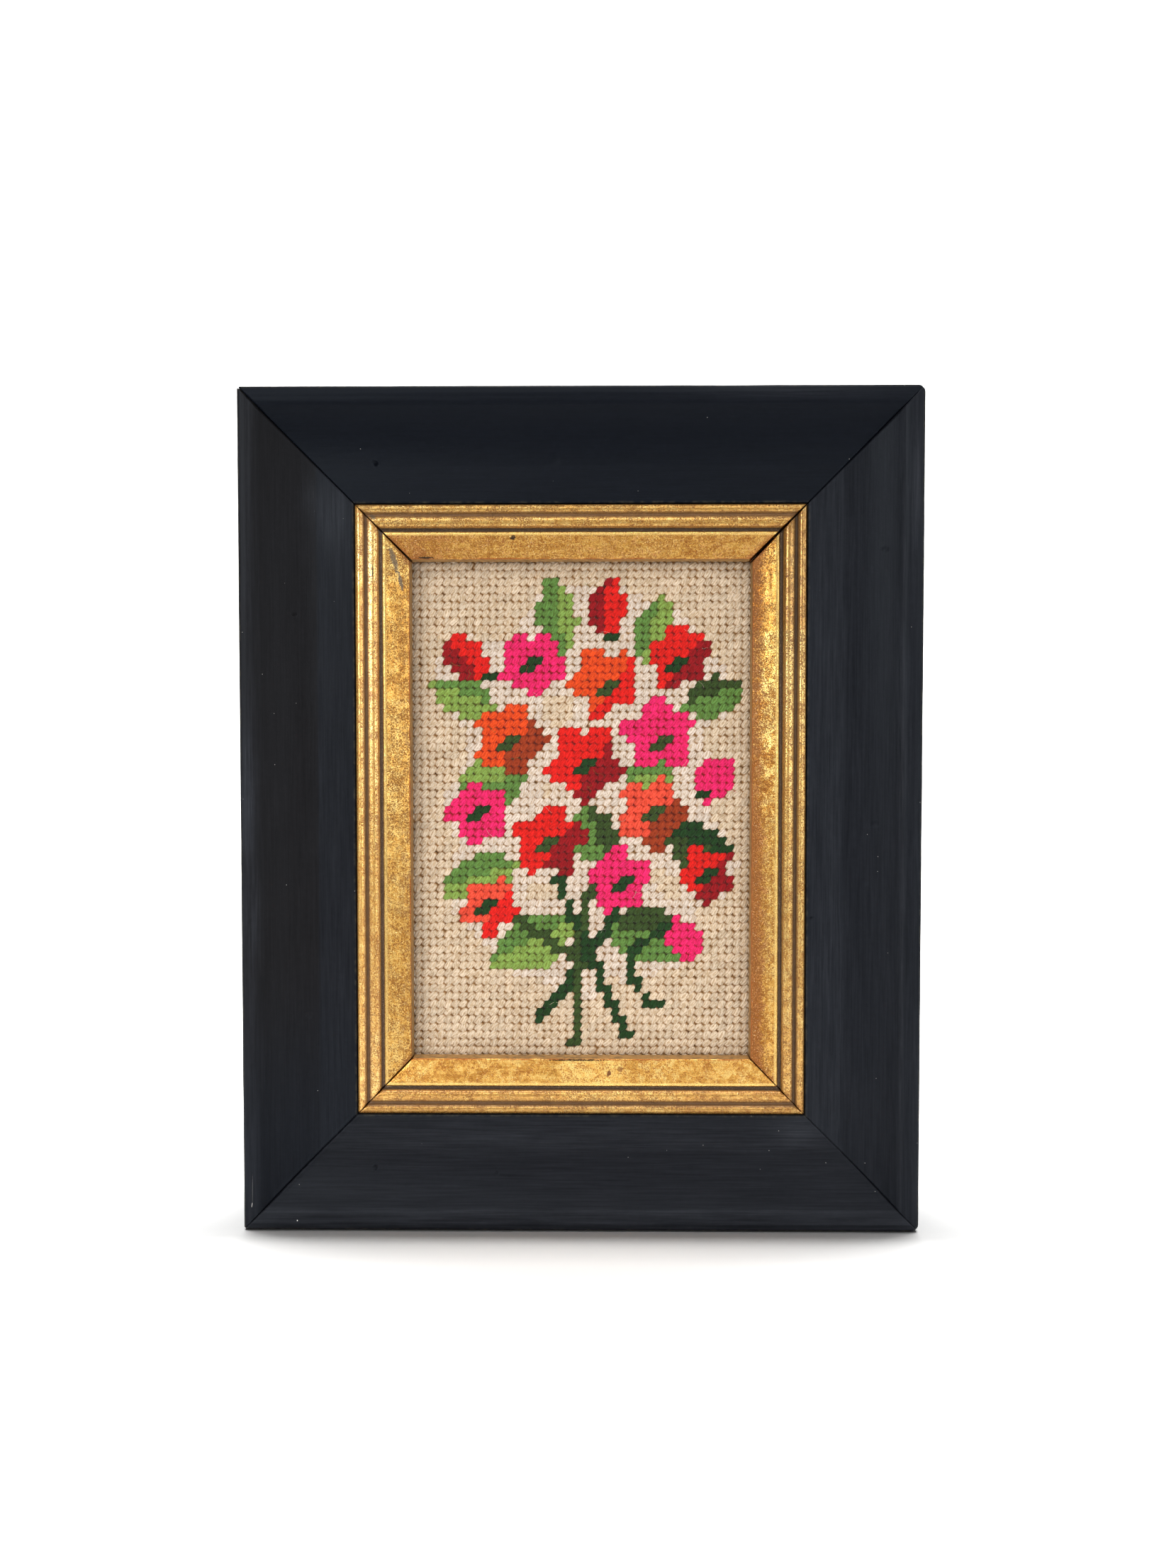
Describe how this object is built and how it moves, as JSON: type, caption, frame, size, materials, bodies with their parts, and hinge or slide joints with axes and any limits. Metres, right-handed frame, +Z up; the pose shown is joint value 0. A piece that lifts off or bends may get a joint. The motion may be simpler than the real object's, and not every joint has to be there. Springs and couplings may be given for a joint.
{
  "type": "needlepoint in a wooden picture frame",
  "caption": "Upright needlepoint of a flower posy in tent stitch, held by a mitred gilt liner inside a black scoop picture frame with a plain backing board.",
  "frame": {"origin": "centre of the bounding box's bottom face, on the surface that the bottom rail stands on", "axes": "+Z up along the frame's height, +X to the right seen from the front, the worked face looks along -Y"},
  "size_m": [0.2142, 0.034, 0.2658],
  "materials": {
    "black_paint": "wood under brushed blue-black satin paint, with dents, dust specks and worn edges",
    "gilt": "wood under old gold leaf, rubbed to red clay and brown patina in the grooves",
    "wool": "two-ply wool in tent stitch, cream ground with pink, red, orange and green motifs",
    "backing_board": "plain brown wood-fibre board"
  },
  "bodies": {
    "root": {"frame_bottom": "black_paint", "frame_right": "black_paint", "frame_top": "black_paint", "frame_left": "black_paint", "liner_bottom": "gilt", "liner_right": "gilt", "liner_top": "gilt", "liner_left": "gilt", "needlepoint": "wool", "backing_board": "backing_board"}
  },
  "joints": []
}
